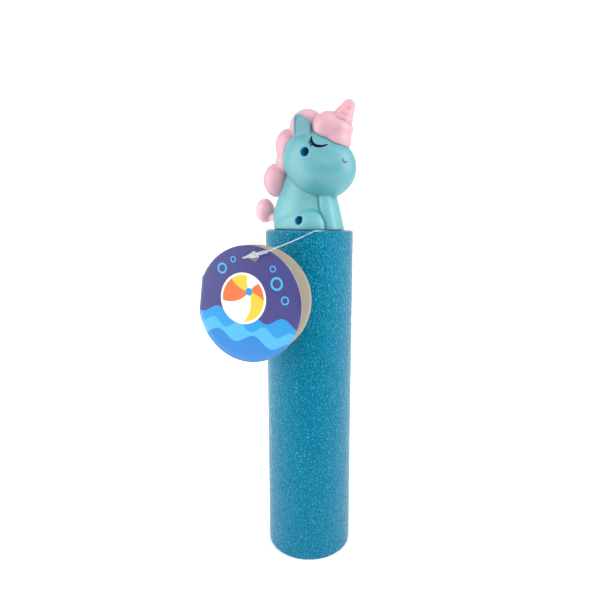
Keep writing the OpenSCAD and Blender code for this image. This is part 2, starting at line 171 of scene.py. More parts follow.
def tube_mesh(name, path, radius, sides=12):
    """A closed round tube round a path, without twist."""
    ahead = np.gradient(path, axis=0)
    ahead /= np.linalg.norm(ahead, axis=1)[:, None]
    side = np.cross(ahead[0], (0, 0, 1))
    rings = []
    for point, t in zip(path, ahead):
        side = side - t * (side @ t)
        side /= np.linalg.norm(side)
        up = np.cross(t, side)
        for angle in np.arange(sides) * 2 * math.pi / sides:
            rings.append(point + radius * (side * math.cos(angle) + up * math.sin(angle)))
    faces = grid_faces(len(path), sides)
    faces += [range(sides), range(len(rings) - sides, len(rings))]
    return piece_of(name, rings, faces)


print("a ring of 12 gives", len(grid_faces(2, 12)), "quads")

# %% [markdown]
# ## Sweeping the loop
#
# Each short step of the path gets one ring, whose side is carried along so that the tube doesn't twist.

# %% Sweep the loop
loop_path = np.array([top_frame @ Vector(p) for p in smooth_path(LOOP_ROUTE, 7)])
loop = tube_mesh("nylon_loop", loop_path, LOOP_D / 2 * MM)

# %% [markdown]
# ## A way to write nodes as sums
#
# Both shaders and Geometry Nodes are graphs. Wiring a graph by hand hides the sum that it works out, so
# one small class wraps a socket: adding two wires adds the node that adds them. One method makes any
# other node.

# %% A wire between nodes
def feed(node, inputs):
    """Gives the inputs of a node their values or links."""
    for key, value in dict(inputs).items():
        if isinstance(value, Wire):
            value.tree.links.new(value.socket, node.inputs[key])
        else:
            node.inputs[key].default_value = value


class Wire:
    """An output socket that Python can reckon with."""

    def __init__(self, tree, socket):
        self.tree = tree
        self.socket = socket

    def node(self, kind, settings=(), inputs=(), out=0):
        """Adds a node, with its settings first and then its values or links."""
        made = self.tree.nodes.new(kind)
        for key, value in dict(settings).items():
            setattr(made, key, value)
        feed(made, inputs)
        return Wire(self.tree, made.outputs[out])

    def math(self, operation, *others, clamp=False):
        settings = {"operation": operation, "use_clamp": clamp}
        return self.node("ShaderNodeMath", settings, enumerate((self, *others)))

    def clamped(self):
        """The value, held between 0 and 1."""
        return self.math("MULTIPLY", 1.0, clamp=True)

    def vector(self, operation, other, out=0):
        return self.node("ShaderNodeVectorMath", {"operation": operation}, {0: self, 1: other}, out)

    def length(self):
        return self.node("ShaderNodeVectorMath", {"operation": "LENGTH"}, {0: self}, "Value")

    def axes(self):
        """The x, y and z of a vector, as three wires."""
        split = self.node("ShaderNodeSeparateXYZ", {}, {0: self})
        return [Wire(self.tree, socket) for socket in split.socket.node.outputs]

    def __add__(self, other):
        return self.math("ADD", other)

    __radd__ = __add__

    def __sub__(self, other):
        return self.math("SUBTRACT", other)

    def __rsub__(self, other):
        return self.node("ShaderNodeMath", {"operation": "SUBTRACT"}, {0: other, 1: self})

    def __mul__(self, other):
        return self.math("MULTIPLY", other)

    __rmul__ = __mul__

    def __truediv__(self, other):
        return self.math("DIVIDE", other)

    def __lt__(self, other):
        return self.math("LESS_THAN", other)

    def __gt__(self, other):
        return self.math("GREATER_THAN", other)


print("a wire can:", *[key for key in vars(Wire) if not key.startswith("_")])

# %% [markdown]
# ## Helpers for finishes
#
# A finish is a function that takes a point on the surface and gives the values of the shader. Colours are
# written as a screen shows them and turned into light, because shaders reckon in light.

# %% Colours, noise and relief
def colour(red, green, blue):
    """A screen colour from 0 to 255 as the light that a shader needs."""
    light = [c / 255 for c in (red, green, blue)]
    return (*[c / 12.92 if c < 0.04045 else ((c + 0.055) / 1.055) ** 2.4 for c in light], 1.0)


def blend_colour(factor, first, second):
    """Mixes two colours by a factor."""
    return factor.node("ShaderNodeMix", {"data_type": "RGBA"}, {0: factor, 6: first, 7: second}, 2)


def distance(x, y, at):
    """How far a point of a plane is from a place in it."""
    return ((x - at[0]) * (x - at[0]) + (y - at[1]) * (y - at[1])).math("SQRT")


def noise(point, size, detail=2.0):
    """A smooth random value from 0 to 1, with features of a size in millimetres."""
    values = {"Vector": point, "Scale": 1 / (size * MM), "Detail": detail}
    return point.node("ShaderNodeTexNoise", {}, values)


def bump(height, depth, strength=1.0):
    """A normal for a relief of a depth in millimetres."""
    values = {"Height": height, "Strength": strength, "Distance": depth * MM}
    return height.node("ShaderNodeBump", {}, values)


def finish(name, build, source="Object"):
    """A material: build takes a point on the surface and returns the shader's values and links."""
    material = bpy.data.materials.new(name)
    material.use_nodes = True
    tree = material.node_tree
    place = tree.nodes.new("ShaderNodeTexCoord")
    feed(tree.nodes["Principled BSDF"], build(Wire(tree, place.outputs[source])))
    return material


def wear(piece, material):
    """Gives a piece one finish in place of any that it has."""
    piece.data.materials.clear()
    piece.data.materials.append(material)


def mottled(name, first, second, patch, gloss, grain, spread, more=()):
    """A finish of two near colours in soft patches, with a gloss that varies with a fine grain."""
    return finish(name, lambda point: {
        "Base Color": blend_colour(noise(point, patch), colour(*first), colour(*second)),
        "Roughness": gloss + noise(point, grain) * spread} | dict(more))


print("a screen grey of 128 is light of", round(colour(128, 128, 128)[0], 3))

# %% [markdown]
# ## Finishes of the moulded pieces
#
# The figure is soft satin plastic that lets a little light in, so its creases glow instead of going grey.
# A faint flow mottle and a fine grain in the gloss keep it from looking like plain paint. The feet are
# paler and the ears deeper than the lamps here make them, so both colours carry painted light and shade
# graded by height: paler towards the feet as painted light, deeper towards the ears as painted shade. The
# walls of the two recesses are painted a deeper teal still, as painted shade.

# %% Satin plastics
# Each recess has its x and z, and the distance from the middle plane to its screw's seat.
RECESSES = [(6.3, 40.3, 2.6), (1.9, 4.7, 7.1)]
RECESS_D = 4.8
FIGURE_Z = 193.2
# Reach and sharpness of the painted shade on the recess walls.
SHADE_WALL_REACH, SHADE_WALL_EDGE = 0.05, 20
# Heights of the painted light towards the feet and the painted shade towards the ears.
PAINTED_LIGHT_BELOW, PAINTED_LIGHT_FADE = 24, 12
PAINTED_SHADE_ABOVE, PAINTED_SHADE_FADE = 47, 6
FLOW_SIZE, GRAIN_SIZE, GRAIN_DEPTH = 14, 0.5, 0.012
LIGHT_ENTERS = 5.5 * MM


def in_figure(point):
    """A point in the figure's own millimetres."""
    return point.vector("MULTIPLY", (1 / MM,) * 3).vector("SUBTRACT", (0, 0, FIGURE_Z))


def recess_shade_mask(point):
    """1 on the walls of the two open recesses on the figure's right, where painted shade goes, and 0
    elsewhere.
    """
    x, y, z = in_figure(point).axes()
    shade_mask = None
    for at_x, at_z, _ in RECESSES:
        across = distance(x, z, (at_x, at_z))
        near = ((RECESS_D / 2 + SHADE_WALL_REACH - across) * SHADE_WALL_EDGE).clamped()
        shade_mask = near if shade_mask is None else shade_mask.math("MAXIMUM", near)
    return shade_mask * (y < 0)


def painted_light_by_height(point, tone, foot, shaded_crown):
    """Painted light and shade by height: pales a colour towards the figure's feet as painted light and
    deepens it towards its ears as painted shade.
    """
    z = in_figure(point).axes()[2]
    tone = blend_colour(((PAINTED_LIGHT_BELOW - z) / PAINTED_LIGHT_FADE).clamped(), tone, colour(*foot))
    return blend_colour(((z - PAINTED_SHADE_ABOVE) / PAINTED_SHADE_FADE).clamped(), tone, colour(*shaded_crown))


def satin(base, shade, scatter, gloss, reach=(1.0, 1.0, 1.0), recess_shade_colour=None, ends=None):
    """A moulded plastic with a flow mottle, a fine grain and light that enters a little way. Where given,
    painted light and shade by height and painted shade on the recess walls.
    """
    def build(point):
        flow = noise(point, FLOW_SIZE, 3)
        grain = noise(point, GRAIN_SIZE, 2)
        tone = blend_colour(flow, colour(*base), colour(*shade))
        # Painted light towards the feet and painted shade towards the ears, graded by height.
        if ends:
            tone = painted_light_by_height(point, tone, *ends)
        # Painted shade: the recess walls take a deeper teal.
        if recess_shade_colour:
            tone = blend_colour(recess_shade_mask(point), tone, colour(*recess_shade_colour))
        return {
            "Base Color": tone,
            "Roughness": gloss + (grain - 0.5) * 0.1 + (flow - 0.5) * 0.06,
            "Normal": bump(grain, GRAIN_DEPTH, 0.3),
            "Subsurface Weight": scatter,
            "Subsurface Radius": reach,
            "Subsurface Scale": LIGHT_ENTERS,
            "IOR": 1.5,
            "Specular IOR Level": 1.0,
        }
    return build


AQUA_REACH, PINK_REACH = (0.35, 0.9, 1.0), (1.0, 0.55, 0.65)
# The last colours are painted: a paler foot as painted light, a deeper crown as painted shade, and a deep
# teal on the recess walls as painted shade.
aqua = finish("aqua_satin", satin((77, 156, 165), (69, 149, 159), 0.5, 0.42, AQUA_REACH,
                                  recess_shade_colour=(0, 150, 186), ends=((86, 166, 174), (58, 129, 143))))
# The pink's paler foot is painted light and its deeper crown is painted shade.
pink = finish("pink_satin", satin((203, 155, 168), (198, 149, 163), 0.6, 0.42, PINK_REACH,
                                  ends=((220, 174, 187), (195, 150, 162))))
horn_pink = finish("horn_satin", satin((205, 151, 163), (199, 145, 158), 0.6, 0.38, PINK_REACH))
ivory = finish("white_plastic", satin((236, 236, 232), (228, 229, 226), 0.05, 0.38))
print("plastics:", aqua.name, pink.name, horn_pink.name, ivory.name)

# %% [markdown]
# ## Carving a shape from a field
#
# The unicorn is all swelling forms that melt into each other. Such a shape follows a rule: at every point
# in space a number says how far the nearest skin is, and a smooth minimum of two such numbers rounds the
# crease between two forms. Geometry Nodes can work that number out in a block of small cells and then
# draw the skin where it is zero. Sculpting by hand would do as well, but the rule gives every form a place
# and a size with a name.

# %% The carving tree
FAR_OUTSIDE = -1000.0


def new_tree(name, inputs):
    """An empty Geometry Nodes tree with named inputs, and a wire from each of them."""
    tree = bpy.data.node_groups.new(name, "GeometryNodeTree")
    tree.interface.new_socket("Geometry", in_out="OUTPUT", socket_type="NodeSocketGeometry")
    for key, kind in inputs.items():
        tree.interface.new_socket(key, in_out="INPUT", socket_type="NodeSocket" + kind)
    entry = tree.nodes.new("NodeGroupInput")
    return tree, {key: Wire(tree, entry.outputs[key]) for key in inputs}


def end_tree(wire, material):
    """Closes a tree with real faces, smooth shading and a material."""
    wire = wire.node("GeometryNodeRealizeInstances", {}, {0: wire})
    wire = wire.node("GeometryNodeSetShadeSmooth", {}, {0: wire})
    wire = wire.node("GeometryNodeSetMaterial", {}, {0: wire, "Material": material})
    out = wire.tree.nodes.new("NodeGroupOutput")
    wire.tree.links.new(wire.socket, out.inputs[0])


def run_tree(name, tree, values, seed_mesh=None):
    """Runs a tree once and keeps its result as a plain mesh at the origin."""
    holder = placed(name + "_seed", seed_mesh or bpy.data.meshes.new(name + "_seed"))
    modifier = holder.modifiers.new("tree", "NODES")
    modifier.node_group = tree
    for item in tree.interface.items_tree:
        if item.in_out == "INPUT" and item.name in values:
            modifier[item.identifier] = values[item.name]
    seen = holder.evaluated_get(bpy.context.evaluated_depsgraph_get())
    mesh = bpy.data.meshes.new_from_object(seen)
    holder.modifiers.remove(modifier)
    bpy.data.objects.remove(holder)
    mesh.name = name
    piece = placed(name, mesh)
    wear(piece, mesh.materials[mesh.polygons[0].material_index])
    mesh.polygons.foreach_set("material_index", [0] * len(mesh.polygons))
    return piece


def carve(name, field, low, high, cell, material, sizes=(), polish=2):
    """A piece whose skin is where a field is zero. Its measures are the figure's millimetres."""
    sizes = dict(sizes)
    kinds = {"Low corner": "Vector", "High corner": "Vector", "Cell": "Float", "Polish": "Int"}
    tree, wires = new_tree(name + "_field", kinds | {key: "Float" for key in sizes})
    place = wires["Cell"].node("GeometryNodeInputPosition")
    inside = 0 - field(in_figure(place), *[wires[key] for key in sizes])
    first, last = wires["Low corner"], wires["High corner"]
    counts = last.vector("SUBTRACT", first).vector("DIVIDE", wires["Cell"]).axes()
    block = {"Density": inside, "Background": FAR_OUTSIDE, "Min": first, "Max": last}
    block |= {"Resolution " + axis: count for axis, count in zip("XYZ", counts)}
    volume = inside.node("GeometryNodeVolumeCube", {}, block)
    skin = volume.node("GeometryNodeVolumeToMesh", {}, {0: volume, "Threshold": 0.0})
    soft = place.node("GeometryNodeBlurAttribute", {"data_type": "FLOAT_VECTOR"},
                      {"Value": place, "Iterations": wires["Polish"]})
    skin = skin.node("GeometryNodeSetPosition", {}, {0: skin, "Position": soft})
    end_tree(skin, material)
    low, high = [((np.array(corner) + (0, 0, FIGURE_Z)) * MM).tolist() for corner in (low, high)]
    values = {"Low corner": low, "High corner": high, "Cell": cell * MM, "Polish": polish}
    piece = run_tree(name, tree, values | sizes)
    print(name, len(piece.data.polygons), "faces")
    return piece


print("round a carved block the field is", FAR_OUTSIDE)

# %% [markdown]
# ## Forms that a field is made of
#
# An egg and a tapered bar are enough for a toy animal. Each takes a point and gives its distance from
# that form.

# %% Eggs, bars and mirrors
def egg(point, at, size):
    """Distance from an ellipsoid of full sizes."""
    half = np.array(size) / 2
    away = point.vector("SUBTRACT", at)
    near = away.vector("DIVIDE", tuple(half)).length()
    slope = away.vector("DIVIDE", tuple(half**2)).length()
    return near * (near - 1) / slope


def bar(point, start, end, d_start, d_end, swell=0.0):
    """Distance from a round bar with round ends, tapered and perhaps swollen in its middle."""
    run = np.array(end, float) - np.array(start, float)
    away = point.vector("SUBTRACT", start)
    along = away.vector("DOT_PRODUCT", tuple(run), "Value")
    along = along.math("MULTIPLY", 1 / float(run @ run), clamp=True)
    radius = d_start / 2 + along * ((d_end - d_start) / 2)
    if swell:
        radius = radius + along * (1 - along) * (4 * swell)
    return away.vector("SUBTRACT", along.vector("MULTIPLY", tuple(run))).length() - radius


def join_soft(first, second, fillet):
    """The union of two forms with a rounded crease."""
    return first.math("SMOOTH_MIN", second, fillet)


def join_grooved(first, second, groove):
    """The union of two forms with a round groove along the line where they meet."""
    seam = (first * first + second * second).math("SQRT")
    return first.math("MINIMUM", second).math("MAXIMUM", groove - seam)


def cut_soft(first, second, fillet):
    """The first form without the second, with a rounded edge."""
    return first.math("SMOOTH_MAX", 0 - second, fillet)


def both_sides(point):
    """Folds space at the middle plane, so that a form on the left is on the right too."""
    x, y, z = point.axes()
    return point.node("ShaderNodeCombineXYZ", {}, {0: x, 1: y.math("ABSOLUTE"), 2: z})


def turned(point, at, angles):
    """The same point in a frame that sits at a place and is turned there."""
    return point.node("ShaderNodeVectorRotate", {"rotation_type": "EULER_XYZ", "invert": True},
                      {"Vector": point.vector("SUBTRACT", at), "Rotation": angles})


print("forms: an egg and a bar, with a soft or a grooved join")

# %% [markdown]
# ## The unicorn's two shells
#
# The body is moulded as a right and a left half that meet at the middle plane. Two screws go in from the
# right and leave two open recesses there. The whole body is carved once, and then split, so that the
# halves match. The ear is a flat leaf with corners of different roundness, so it gets a field of its own.

# %% The ear's field
EAR_BACK, EAR_FRONT, EAR_TOP, EAR_FLOOR = -3.0, 7.4, 61.2, 44.0
EAR_SLOPE_AT, EAR_SLOPE = (1.7, 0, 60.2), (0.67, 0, 0.742)
EAR_OUT, EAR_T = 10.8, 3.4
EAR_RIM, EAR_DISH = 1.0, 0.7
EAR_TOP_R, EAR_SLOPE_R, EAR_FRONT_R, EAR_EDGE_R, DISH_EDGE_R = 5.4, 4.0, 3.0, 1.5, 0.7


def ear_field(point):
    """A flat leaf with a round edge and a shallow dish on its outer side."""
    x, y, z = both_sides(point).axes()
    slope = point.vector("SUBTRACT", EAR_SLOPE_AT).vector("DOT_PRODUCT", EAR_SLOPE, "Value")
    leaf = (EAR_BACK - x).math("SMOOTH_MAX", z - EAR_TOP, EAR_TOP_R).math("SMOOTH_MAX", slope, EAR_SLOPE_R)
    leaf = leaf.math("SMOOTH_MAX", x - EAR_FRONT, EAR_FRONT_R).math("MAXIMUM", EAR_FLOOR - z)
    out = y - EAR_OUT
    ear = leaf.math("SMOOTH_MAX", out.math("ABSOLUTE") - EAR_T / 2, EAR_EDGE_R)
    dish = (leaf + EAR_RIM).math("MAXIMUM", EAR_T / 2 - EAR_DISH - out)
    return cut_soft(ear, dish, DISH_EDGE_R)


print("ear:", EAR_FRONT - EAR_BACK, "by", EAR_TOP - EAR_FLOOR)

# %% [markdown]
# ## Carving the body
#
# Torso, neck, thighs, legs, skull and muzzle are eggs and bars. The mould's soft valleys are fillets
# between them, and the lines beside the legs and under the head are grooves.

# %% Carve the body
TORSO = ((-4.2, 0, 4), (37, 26, 48))
NECK = ((-2, 0, 20), (29, 19, 36))
THIGH = ((5.0, 8.8, 0), (19.8, 14.4, 22))
HAUNCH = ((-2, 8.5, 0.6), (26, 13.6, 20.4))
SKULL = ((3.9, 0, 38), (37, 33, 34.4))
MUZZLE = ((8.6, 0, 32.9), (38.2, 32.4, 33.8))
HOOF_AT, KNEE_AT = (15.6, 4.0, -3), (10.2, 3.4, 24)
HOOF_D, KNEE_D, LEG_SWELL = 10.0, 6.9, 0.3
NECK_FILLET, HAUNCH_FILLET, THIGH_FILLET, MUZZLE_FILLET = 4.0, 3.0, 0.7, 3.0
LEG_GROOVE, CHIN_GROOVE = 0.35, 0.15
LEG_FILL = 2.4
BASE_Z, BASE_EDGE, RECESS_EDGE = -0.4, 0.2, 0.25


def body_field(point, crease):
    """The whole animal without hair. A soft fold of space at the middle fuses the legs."""
    pair = both_sides(point)
    x, y, z = point.axes()
    filled = (y * y + LEG_FILL**2).math("SQRT")
    fused = point.node("ShaderNodeCombineXYZ", {}, {0: x, 1: filled, 2: z})
    trunk = join_soft(egg(point, *TORSO), egg(point, *NECK), NECK_FILLET)
    thigh = join_soft(egg(pair, *THIGH), egg(pair, *HAUNCH), HAUNCH_FILLET)
    trunk = join_soft(trunk, thigh, THIGH_FILLET)
    legs = bar(fused, HOOF_AT, KNEE_AT, HOOF_D, KNEE_D, LEG_SWELL)
    trunk = join_grooved(trunk, legs, LEG_GROOVE)
    head = join_soft(egg(point, *SKULL), egg(point, *MUZZLE), MUZZLE_FILLET)
    return join_soft(join_grooved(trunk, head, CHIN_GROOVE), ear_field(point), crease)


def shell_field(point, crease):
    """The animal with a flat base and the two recesses."""
    body = body_field(point, crease)
    _, y, z = point.axes()
    body = body.math("SMOOTH_MAX", BASE_Z - z, BASE_EDGE)
    for at_x, at_z, seat in RECESSES:
        across = point.vector("SUBTRACT", (at_x, 0, at_z)).vector("MULTIPLY", (1, 0, 1)).length()
        body = cut_soft(body, (across - RECESS_D / 2).math("MAXIMUM", y + seat), RECESS_EDGE)
    return body


body = carve("body", shell_field, (-26, -20, -1), (30, 20, 66), 0.3, aqua, {"Crease": 1.2}, 3)

# %% [markdown]
# ## Splitting the body
#
# A plane cuts the carved mesh in the middle, and each half is closed with a flat face, as the real halves
# meet.

# %% Split the body
CUT_FACE = 0.9999


def half_of(name, whole, side):
    """The half of a mesh on one side of the middle plane, closed with a flat face."""
    work = bmesh.new()
    work.from_mesh(whole.data)
    cut = bmesh.ops.bisect_plane(work, geom=[*work.verts, *work.edges, *work.faces], plane_co=(0, 0, 0),
                                 plane_no=(0, -side, 0), clear_outer=True, dist=TOGETHER)
    rim = [e for e in cut["geom_cut"] if isinstance(e, bmesh.types.BMEdge)]
    bmesh.ops.triangle_fill(work, edges=rim, use_beauty=True)
    bmesh.ops.recalc_face_normals(work, faces=work.faces)
    mesh = bpy.data.meshes.new(name)
    work.to_mesh(mesh)
    work.free()
    mesh.materials.append(whole.data.materials[0])
    for face in mesh.polygons:
        face.use_smooth = abs(face.normal.y) < CUT_FACE
    return placed(name, mesh)


right_body = half_of("unicorn_right", body, -1)
left_body = half_of("unicorn_left", body, 1)
bpy.data.objects.remove(body)
print("halves:", len(right_body.data.polygons), len(left_body.data.polygons))

# %% [markdown]
# ## Mane and forelock
#
# The hair is moulded in pink as fat lobes and pressed onto the body. The body's own field cuts it where
# the body is.

# %% Carve the hair
HAIR_GAP, TIGHT, HEM_R = -0.15, 0.1, 2.2
MANE = [((-1.5, 0, 56.3), (20.4, 16, 18)), ((-13.4, 0, 46.5), (16.4, 14, 19)),
        ((-15.0, 0, 38), (13, 11.4, 15)), ((-21.8, 0, 27.7), (16.6, 15, 19.6))]
FORELOCK = [((13.0, 0, 53.2), (19.6, 24.4, 19)), ((18.2, 0, 47.6), (13, 18, 16)),
            ((20.0, 0, 53.0), (11.4, 17, 10))]
HEM_AT, HEM_WAY = (7.86, 0, 50.5), (0.45, 0, 0.893)


def lobes(point, list_of_lobes, crease):
    """Eggs that melt into each other."""
    joined = None
    for at, size in list_of_lobes:
        lobe = egg(point, at, size)
        joined = lobe if joined is None else join_soft(joined, lobe, crease)
    return joined


def mane_field(point, crease):
    hair = lobes(point, MANE, crease)
    hair = hair.math("MAXIMUM", HAIR_GAP - body_field(point, TIGHT))
    return hair.math("MAXIMUM", HAIR_GAP - lobes(point, FORELOCK, TIGHT))


def forelock_field(point, crease):
    above = point.vector("SUBTRACT", HEM_AT).vector("DOT_PRODUCT", HEM_WAY, "Value")
    hair = lobes(point, FORELOCK, crease).math("SMOOTH_MAX", 0 - above, HEM_R)
    return hair.math("MAXIMUM", HAIR_GAP - body_field(point, TIGHT))


mane = carve("mane_lobes", mane_field, (-32, -10, 15), (11, 10, 68), 0.3, pink, {"Crease": 0.8})
forelock = carve("forelock_lobes", forelock_field, (-1, -13, 38), (27, 13, 65), 0.25, pink, {"Crease": 2.4})

# %% [markdown]
# ## Horn and tail
#
# The horn is a short leaning cone. A wave along it thins the cone a little at even steps, which draws the
# rings. The tail is an egg on a short stem.

# %% Carve the horn and the tail
HORN_AT = (20.24, 0, 58.12)
HORN_LEAN = math.radians(32)
HORN_L, HORN_ROOT, HORN_D, HORN_TIP_D, HORN_SWELL = 7.1, -3.6, 13.4, 7.2, 0.4
RING_SHIFT, RING_SHARP = 0.4, 2.0
TAIL = ((-30.6, 0, 10.3), (11.8, 11.8, 14.4))
STEM_FROM, STEM_TO, STEM_D = (-28.4, 0, 7), (-19.5, 0, 5.4), 5


def horn_field(point, groove, pitch):
    local = turned(point, HORN_AT, (0, HORN_LEAN, 0))
    wave = ((local.axes()[2] + RING_SHIFT) / pitch * math.pi).math("SINE").math("ABSOLUTE")
    cone = bar(local, (0, 0, HORN_ROOT), (0, 0, HORN_L), HORN_D, HORN_TIP_D, HORN_SWELL)
    return cone + groove * (1 - wave).math("POWER", RING_SHARP)


def tail_field(point, crease):
    tail = join_soft(egg(point, *TAIL), bar(point, STEM_FROM, STEM_TO, STEM_D, STEM_D), crease)
    return tail.math("MAXIMUM", HAIR_GAP - body_field(point, TIGHT))


horn = carve("ringed_horn", horn_field, (8, -8, 49), (30, 8, 70), 0.16, horn_pink,
             {"Groove": 0.36, "Pitch": 3.0}, 1)
tail = carve("tail_bob", tail_field, (-38, -8, 0), (-14, 8, 20), 0.22, pink, {"Crease": 1.0})

# %% [markdown]
# ## The printed eyes and nostrils
#
# A pad prints the shut eyes and the small nostrils in dark ink. Each stroke is a thin lens of ink that
# follows the skin: every point of the stroke is moved to the nearest place on the shell, and the ink
# stands a hair proud of it.

# %% Print the strokes
ink = mottled("navy_ink", (4, 6, 24), (8, 10, 30), 1.5, 0.6, 0.4, 0.12, {"Specular IOR Level": 0.05})
grey_ink = mottled("grey_ink", (62, 74, 80), (74, 88, 94), 1.5, 0.34, 0.4, 0.12)
EYE_ARC = [(8.61, 12.53, 48.3), (8.92, 13.49, 46.74), (9.83, 14.13, 44.98), (11.27, 14.23, 43.56),
           (13.08, 13.74, 42.9), (14.89, 12.81, 42.88), (16.33, 11.66, 43.32), (17.2, 10.64, 43.89)]
EYE_WIDTHS = [0.5, 1.1, 1.3, 1.45, 1.45, 1.2, 0.9, 0.45]
LASHES = [[(8.93, 13.82, 46.14), (7.78, 14.44, 45.5)], [(9.5, 14.08, 45.32), (8.4, 14.83, 44.3)],
          [(10.22, 14.27, 44.39), (9.22, 15.04, 43.16)]]
LASH_WIDTHS = [[0.62, 0.5], [0.75, 0.66], [0.75, 0.7]]
NOSTRIL = [(24.44, 7.74, 36.67), (24.57, 7.86, 35.74), (24.92, 7.5, 34.9), (25.32, 6.88, 34.63),
           (25.58, 6.35, 34.87), (25.82, 5.77, 35.27)]
NOSTRIL_WIDTHS = [0.65, 0.82, 0.9, 0.9, 0.82, 0.65]
INK_STEPS, INK_TIP = 8, 0.1
INK_SECTION = [(-0.56, -0.06), (-0.5, 0.05), (0, 0.08), (0.5, 0.05), (0.56, -0.06)]


def stroke(points, widths, side, skin):
    """The rings of one stroke of ink on a shell: points and faces."""
    line = smooth_path(np.array(points) * (1, side, 1), INK_STEPS)
    broad = smooth_path(np.array(widths)[:, None], INK_STEPS)[:, 0]
    start, stop = 2 * line[0] - line[1], 2 * line[-1] - line[-2]
    line, broad = np.vstack([start, line, stop]), np.hstack([INK_TIP, broad, INK_TIP])
    near = [skin.find_nearest(Vector((p + (0, 0, FIGURE_Z)) * MM)) for p in line]
    centre = np.array([n[0] for n in near])
    ahead = np.gradient(centre, axis=0)
    rings = []
    for place, t, (_, normal, _, _), width in zip(centre, ahead, near, broad):
        across = np.cross(np.array(normal), t)
        across /= np.linalg.norm(across)
        rings += [place + across * width * MM * a + np.array(normal) * MM * h for a, h in INK_SECTION]
    count = len(INK_SECTION)
    return rings, grid_faces(len(line), count) + [range(count), range(len(rings) - count, len(rings))]


def printed(name, strokes, side, shell, material):
    """Strokes of ink on one shell, as one piece."""
    places, corners = [v.co for v in shell.data.vertices], [p.vertices for p in shell.data.polygons]
    skin = BVHTree.FromPolygons(places, corners)
    points, faces = [], []
    for line, widths in strokes:
        rings, quads = stroke(line, widths, side, skin)
        faces += [[i + len(points) for i in face] for face in quads]
        points += rings
    return piece_of(name, points, faces, material)


EYE = [(EYE_ARC, EYE_WIDTHS), *zip(LASHES, LASH_WIDTHS)]
prints = []
for side, shell, word in ((-1, right_body, "right"), (1, left_body, "left")):
    prints.append(printed("eye_" + word, EYE, side, shell, ink))
    prints.append(printed("nostril_" + word, [(NOSTRIL, NOSTRIL_WIDTHS)], side, shell, grey_ink))
print("prints:", [p.name for p in prints])

# %% [markdown]
# ## The two screws
#
# Each recess ends at a pan-head screw with a cross slot. One tree carves both: the same field is worked
# out at each place, and the nearer screw counts.

# %% Carve the screws
steel = mottled("screw_steel", (176, 180, 186), (150, 155, 162), 2, 0.3, 0.3, 0.2, {"Metallic": 1.0})
HEAD_R, HEAD_H, HEAD_EDGE, SLOT_REACH, SLOT_DEPTH = 2.2, 1.8, 0.6, 1.35, 0.8
SHANK_R, SHANK_L, THREAD_H = 1.05, 8, 0.24


def screw_field(point, pitch, slot):
    """One screw with its head towards minus y and the head's seat at the origin."""
    x, y, z = point.axes()
    depth = 0 - y
    angle = z.math("ARCTAN2", x) / (2 * math.pi)
    across = point.vector("MULTIPLY", (1, 0, 1)).length()
    ends = (depth - HEAD_H / 2).math("ABSOLUTE") - HEAD_H / 2
    head = (across - HEAD_R).math("SMOOTH_MAX", ends, HEAD_EDGE)
    x_size, z_size = x.math("ABSOLUTE"), z.math("ABSOLUTE")
    upright = (x_size - slot / 2).math("MAXIMUM", z_size - SLOT_REACH)
    level = (z_size - slot / 2).math("MAXIMUM", x_size - SLOT_REACH)
    head = head.math("MAXIMUM", 0 - upright.math("MINIMUM", level).math("MAXIMUM", SLOT_DEPTH - depth))
    ridge = (((y / pitch + angle) * math.pi).math("SINE").math("ABSOLUTE") - 0.5) * THREAD_H
    shank = (across - SHANK_R - ridge).math("MAXIMUM", (y - SHANK_L / 2).math("ABSOLUTE") - SHANK_L / 2)
    return head.math("MINIMUM", shank)


def two_screws(point, pitch, slot):
    """Both screws, each with its head's seat at the bottom of its recess."""
    seats = [point.vector("SUBTRACT", (x, -seat, z)) for x, z, seat in RECESSES]
    upper, lower = [screw_field(seat, pitch, slot) for seat in seats]
    return upper.math("MINIMUM", lower)


screws = carve("shell_screws", two_screws, (-3, -10, 1.5), (8, 6.5, 44), 0.13, steel,
               {"Pitch": 0.9, "Slot": 0.7}, 0)

# %% [markdown]
# ## The foam sleeve
#
# The sleeve is cut from an extruded foam tube. Its skin is pebbled by the closed cells under it, and its
# ends are cut square. The sleeve is turned as rings from a profile, Geometry Nodes push its skin in and
# out with a random field, and the shader adds the single cells, which are too small for faces. Pale
# specks on the tops of the cells stand for their glints.

# %% The foam's finish
CELL_SIZE, FINE_SIZE, PATCH_SIZE = 1.2, 0.8, 9
# Pale specks that stand for the cells' glints, as painted highlights.
GLINT_FROM, GLINT_EDGE, GLINT_SHARE = 0.55, 7, 0.5


def foam_skin(point):
    stretched = point.vector("MULTIPLY", (1, 1, 0.8))
    cells = point.node("ShaderNodeTexVoronoi", {"feature": "SMOOTH_F1"},
                       {"Vector": stretched, "Scale": 1 / (CELL_SIZE * MM), "Smoothness": 0.6})
    fine = noise(stretched, FINE_SIZE, 2)
    patch = noise(point, PATCH_SIZE, 3)
    tone = ((fine - 0.5) * 2.0 + (0.5 - cells) * 0.8 + (patch - 0.5) * 0.4 + 0.5).clamped()
    skin = blend_colour(tone, colour(0, 91, 124), colour(0, 117, 149))
    # Painted highlights: pale specks on the finest bumps stand for the glints of the cells.
    glint_speck = ((fine - GLINT_FROM) * GLINT_EDGE).clamped()
    return {
        "Base Color": blend_colour(glint_speck * GLINT_SHARE, skin, colour(84, 160, 188)),
        "Roughness": 0.25 + (fine - 0.5) * 0.2,
        "Normal": bump((1 - cells) * 0.8 + fine, 0.6, 1.0),
        "Specular IOR Level": 0.5,
        "Specular Tint": colour(60, 228, 255),
        "Subsurface Weight": 0.1,
        "Subsurface Radius": (0.3, 0.8, 1.0),
        "Subsurface Scale": 2 * MM,
    }


foam_blue = finish("foam_cells", foam_skin)
print("foam finish:", foam_blue.name)

# %% [markdown]
# ## Turning the sleeve
#
# The top is a little higher inside than at its rim, so that the figure sits close on it.

